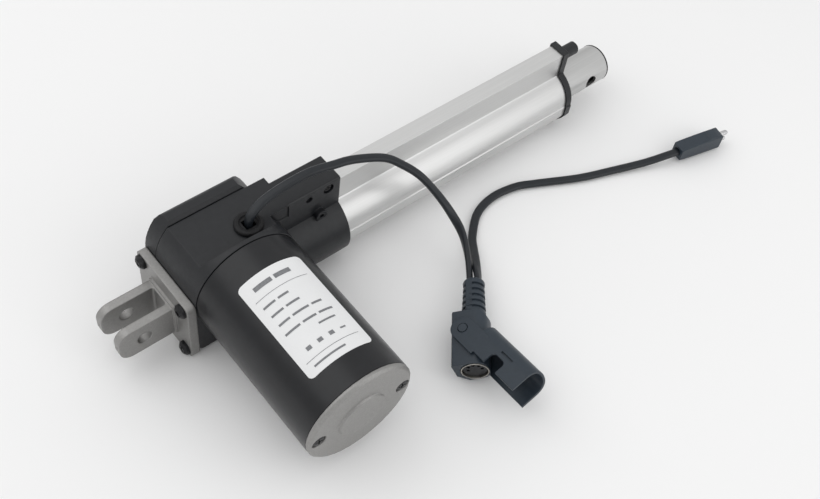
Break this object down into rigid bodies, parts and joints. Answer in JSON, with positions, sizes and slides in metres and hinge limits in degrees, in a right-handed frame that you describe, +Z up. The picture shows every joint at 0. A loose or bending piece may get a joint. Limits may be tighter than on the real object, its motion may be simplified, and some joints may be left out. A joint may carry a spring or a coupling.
{
  "type": "linear actuator",
  "caption": "Electric linear actuator: a side motor turns a lead screw through a worm gear and pushes a round rod out of a keyed tube, with a rear clevis and plug-in cables.",
  "frame": {"origin": "centre of the rear clevis pin holes, on the lead screw's axis", "axes": "+X along the rod, the way it comes out; +Z up, away from the surface it lies on; the motor points along -Y"},
  "size_m": [0.4009, 0.1803, 0.0806],
  "materials": {
    "cast_alloy": "bead-blasted grey casting, satin",
    "black_plastic": "fine-textured black, satin",
    "black_paint": "black, satin gloss",
    "extrusion": "satin silver anodised extrusion",
    "rod_metal": "smooth satin drawn tube",
    "steel": "bright machined",
    "black_screw": "black oxide, satin",
    "cable_jacket": "dark slate soft plastic jacket",
    "soft_rubber": "black, matte",
    "connector_plastic": "dark blue-grey, satin",
    "acetal": "natural white, satin",
    "brass": "machined",
    "ferrite": "dark sintered, matte",
    "copper": "copper, bright",
    "board": "green coated circuit board",
    "label_film": "white printed film",
    "nickel": "nickel plated, satin"
  },
  "bodies": {
    "housing": {"rear_clevis": "cast_alloy", "clevis_screw_1": "black_screw", "clevis_screw_2": "black_screw", "clevis_screw_3": "black_screw", "clevis_screw_4": "black_screw", "gear_housing": "black_plastic", "housing_cover": "black_plastic", "cover_screw_1": "black_screw", "cover_screw_2": "black_screw", "cover_screw_3": "black_screw", "cover_screw_4": "black_screw", "clamp_screw": "black_screw", "cable_grommet": "soft_rubber", "motor_can": "black_paint", "motor_end_cap": "cast_alloy", "motor_screw_1": "black_screw", "motor_screw_2": "black_screw", "magnet_1": "ferrite", "magnet_2": "ferrite", "front_motor_bearing": "steel", "rear_motor_bearing": "brass", "brush_holder": "acetal", "brush_1": "ferrite", "brush_2": "ferrite", "motor_label": "label_film", "outer_tube": "extrusion", "tube_end_cap": "black_plastic", "rod_guide_bush": "acetal", "rod_wiper": "soft_rubber", "rear_thrust_bearing": "steel", "front_screw_bush": "brass", "limit_switch_board": "board", "limit_switch_1": "black_plastic", "limit_switch_2": "black_plastic", "connector_boot": "connector_plastic", "connector_body": "connector_plastic", "socket_shell": "nickel", "socket_insert": "black_plastic", "aux_plug": "connector_plastic", "aux_pin_1": "steel", "aux_pin_2": "steel", "motor_cable": "cable_jacket", "branch_cable": "cable_jacket"},
    "rod": {"inner_rod": "rod_metal", "rod_end_plug": "soft_rubber", "drive_nut": "acetal"},
    "screw": {"lead_screw": "steel", "worm_wheel": "acetal"},
    "armature": {"armature_shaft": "steel", "armature_core": "copper", "commutator": "copper"},
    "clip": {"lock_clip": "connector_plastic", "clip_pivot_pin": "connector_plastic"}
  },
  "joints": [
    {"name": "rod_slide", "type": "slide", "parent": "housing", "child": "rod", "axis": [1, 0, 0], "range_m": [0, 0.15]},
    {"name": "screw_spin", "type": "hinge", "parent": "housing", "child": "screw", "pos_m": [0.0558, 0, 0], "axis": [1, 0, 0], "range_deg": [-13501, 1]},
    {"name": "armature_spin", "type": "hinge", "parent": "housing", "child": "armature", "pos_m": [0.0558, -0.06, 0.0196], "axis": [0, 1, 0], "range_deg": [-30, 405030]},
    {"name": "lock_clip_hinge", "type": "hinge", "parent": "housing", "child": "clip", "pos_m": [0.14251, -0.10586, -0.01089], "axis": [-0.3288, 0.2899, 0.8988], "range_deg": [-36, 35]}
  ],
  "couplings": [
    {"joint": "screw_spin", "follows": "rod_slide", "rad_per_m": -1570.8},
    {"joint": "armature_spin", "follows": "rod_slide", "rad_per_m": 47124}
  ]
}
